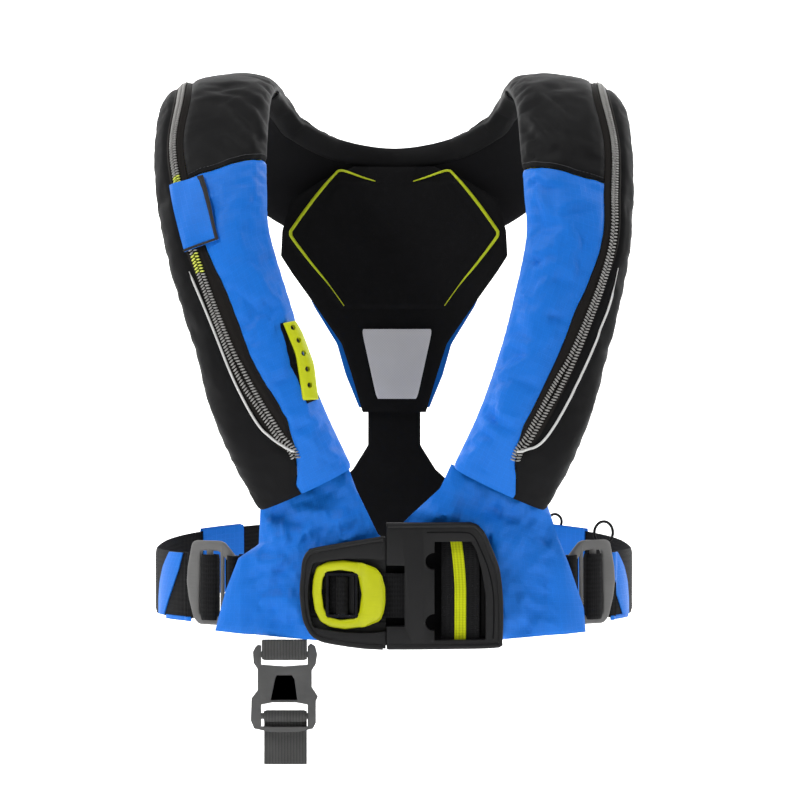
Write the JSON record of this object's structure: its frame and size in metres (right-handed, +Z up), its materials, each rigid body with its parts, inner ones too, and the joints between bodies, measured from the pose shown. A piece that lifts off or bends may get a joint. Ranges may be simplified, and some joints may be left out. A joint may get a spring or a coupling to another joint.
{
  "type": "inflatable life jacket",
  "caption": "Horseshoe inflatable life jacket and harness: zipped fabric lobes, back yoke, waist belt with ladder adjusters, buckle, tether loop, crotch strap and inflator.",
  "frame": {"origin": "on the wearer's centre line, at the height where the casing rests on the shoulders, midway front to back", "axes": "+Z up along the wearer, -Y the way the wearer faces, +X to the right of someone facing the wearer"},
  "size_m": [0.371, 0.29, 0.5192],
  "materials": {
    "ripstop_blue": "woven ripstop nylon, matt with a slight sheen",
    "shell_black": "coated woven nylon, matt",
    "side_black": "coated woven nylon, matt",
    "lining_black": "brushed polyester lining",
    "zip_tape_black": "woven zip tape",
    "zip_teeth": "moulded teeth, satin",
    "slider_metal": "satin",
    "bladder_yellow": "coated bladder fabric, slight sheen",
    "hood_clear": "clear folded film",
    "pad_black": "moulded padded fabric",
    "reflective_silver": "retroreflective film",
    "piping_lime": "printed piping, satin",
    "webbing_black": "ribbed polyester webbing",
    "webbing_grey": "ribbed polyester webbing",
    "adjuster_grey": "satin grey",
    "moulded_black": "fine textured moulding",
    "frame_lime": "satin powder coat",
    "hook_steel": "satin",
    "stripe_lime": "woven stripe",
    "clip_grey": "moulded acetal, satin",
    "handle_lime": "moulded soft plastic",
    "cord_lime": "braided cord",
    "inflator_black": "moulded, satin",
    "lever_lime": "moulded",
    "pin_steel": "turned",
    "cylinder_steel": "plated",
    "capsule_lime": "moulded",
    "tube_black": "soft tube",
    "whistle_lime": "moulded",
    "light_clear": "clear lens on a light body",
    "cord_black": "braided elastic cord"
  },
  "bodies": {
    "jacket": {"left_front_panel": "ripstop_blue", "right_front_panel": "ripstop_blue", "left_shoulder_panel": "shell_black", "right_shoulder_panel": "shell_black", "left_side_panel": "side_black", "right_side_panel": "side_black", "collar_cover": "shell_black", "cover_lining": "lining_black", "neck_band": "lining_black", "zip_tape": "zip_tape_black", "zip_chain": "zip_teeth", "left_bladder": "bladder_yellow", "collar_bladder": "bladder_yellow", "right_bladder": "bladder_yellow", "spray_hood": "hood_clear", "back_pad": "pad_black", "back_cover": "ripstop_blue", "back_reflector": "reflective_silver", "pad_piping": "piping_lime", "back_strap": "lining_black", "left_waist_panel": "ripstop_blue", "right_waist_panel": "ripstop_blue", "belt_webbing": "webbing_black", "left_front_belt": "webbing_black", "right_front_belt": "webbing_black", "belt_sleeves": "ripstop_blue", "belt_tabs": "ripstop_blue", "buckle_carriage": "moulded_black", "buckle_hook_bar": "hook_steel", "hook_bar_webbing": "webbing_black", "frame_webbing": "webbing_black", "tether_plate": "moulded_black", "tether_webbing": "webbing_black", "tether_stripe": "stripe_lime", "crotch_loop": "webbing_grey", "inflator_body": "inflator_black", "capsule_cap": "capsule_lime", "capsule_spring": "pin_steel", "oral_tube": "tube_black", "whistle": "whistle_lime", "life_light": "light_clear", "accessory_loops": "cord_black"},
    "burst_flap": {"zip_burst_flap": "ripstop_blue"},
    "handle": {"pull_handle": "handle_lime"},
    "lever": {"firing_lever": "lever_lime", "pull_lanyard": "cord_lime"},
    "pin": {"piercing_pin": "pin_steel"},
    "cylinder": {"gas_cylinder": "cylinder_steel"},
    "piston": {"capsule_piston": "inflator_black"},
    "oral_plunger": {"oral_plunger": "pin_steel"},
    "oral_cap": {"oral_cap": "capsule_lime"},
    "slider": {"zip_slider": "slider_metal"},
    "frame": {"buckle_frame": "frame_lime"},
    "left_adjuster": {"left_adjuster": "adjuster_grey", "left_adjuster_webbing": "webbing_black"},
    "right_adjuster": {"right_adjuster": "adjuster_grey", "right_adjuster_webbing": "webbing_black"},
    "clip": {"crotch_clip": "clip_grey"},
    "strap": {"crotch_strap": "webbing_grey"}
  },
  "joints": [
    {"name": "buckle_frame_swing", "type": "hinge", "parent": "jacket", "child": "frame", "pos_m": [-0.01149, -0.14131, -0.368], "axis": [0, 0, 1], "range_deg": [0, 65]},
    {"name": "left_adjuster_tilt", "type": "hinge", "parent": "jacket", "child": "left_adjuster", "pos_m": [-0.11823, -0.10004, -0.366], "axis": [0, 0, 1], "range_deg": [0, 14]},
    {"name": "right_adjuster_tilt", "type": "hinge", "parent": "jacket", "child": "right_adjuster", "pos_m": [0.13116, -0.09285, -0.366], "axis": [0, 0, -1], "range_deg": [0, 14]},
    {"name": "crotch_clip_swing", "type": "hinge", "parent": "jacket", "child": "clip", "pos_m": [-0.0798, -0.117, -0.413], "axis": [1, 0, 0], "range_deg": [-60, 60]},
    {"name": "crotch_strap_swing", "type": "hinge", "parent": "clip", "child": "strap", "pos_m": [-0.0798, -0.117, -0.458], "axis": [1, 0, 0], "range_deg": [0, 60]},
    {"name": "flap_open", "type": "hinge", "parent": "jacket", "child": "burst_flap", "pos_m": [-0.15144, -0.14815, -0.12119], "axis": [0.2304, -0.3591, -0.9044], "range_deg": [0, 110]},
    {"name": "handle_pull", "type": "slide", "parent": "jacket", "child": "handle", "axis": [0.2978, -0.4467, -0.8437], "range_m": [0, 0.04]},
    {"name": "lever_pivot", "type": "hinge", "parent": "jacket", "child": "lever", "pos_m": [-0.08588, -0.14554, -0.24232], "axis": [0.308, 0.9502, 0.0469], "range_deg": [0, 42]},
    {"name": "pin_slide", "type": "slide", "parent": "jacket", "child": "pin", "axis": [-0.2754, 0.0419, 0.9604], "range_m": [0, 0.0026]},
    {"name": "gas_cylinder_turn", "type": "hinge", "parent": "jacket", "child": "cylinder", "pos_m": [-0.0985, -0.1426, -0.219], "axis": [-0.2754, 0.0419, 0.9604], "continuous": true},
    {"name": "capsule_piston_slide", "type": "slide", "parent": "jacket", "child": "piston", "axis": [0.9106, -0.3087, 0.2746], "range_m": [0, 0.004], "stiffness_N_per_m": 120, "deforming": ["capsule_spring"]},
    {"name": "oral_plunger_slide", "type": "slide", "parent": "jacket", "child": "oral_plunger", "axis": [-0.2754, -0.0419, -0.9604], "range_m": [0, 0.0035], "stiffness_N_per_m": 200},
    {"name": "oral_cap_pull", "type": "slide", "parent": "jacket", "child": "oral_cap", "axis": [0.2754, 0.0419, 0.9604], "range_m": [0, 0.016]},
    {"name": "zip_slider_travel", "type": "slide", "parent": "jacket", "child": "slider", "axis": [-0.4463, -0.1805, 0.8765], "range_m": [0, 0.015]}
  ],
  "couplings": [
    {"joint": "lever_pivot", "follows": "handle_pull", "rad_per_m": 17.45},
    {"joint": "pin_slide", "follows": "handle_pull", "ratio": 0.0625}
  ]
}
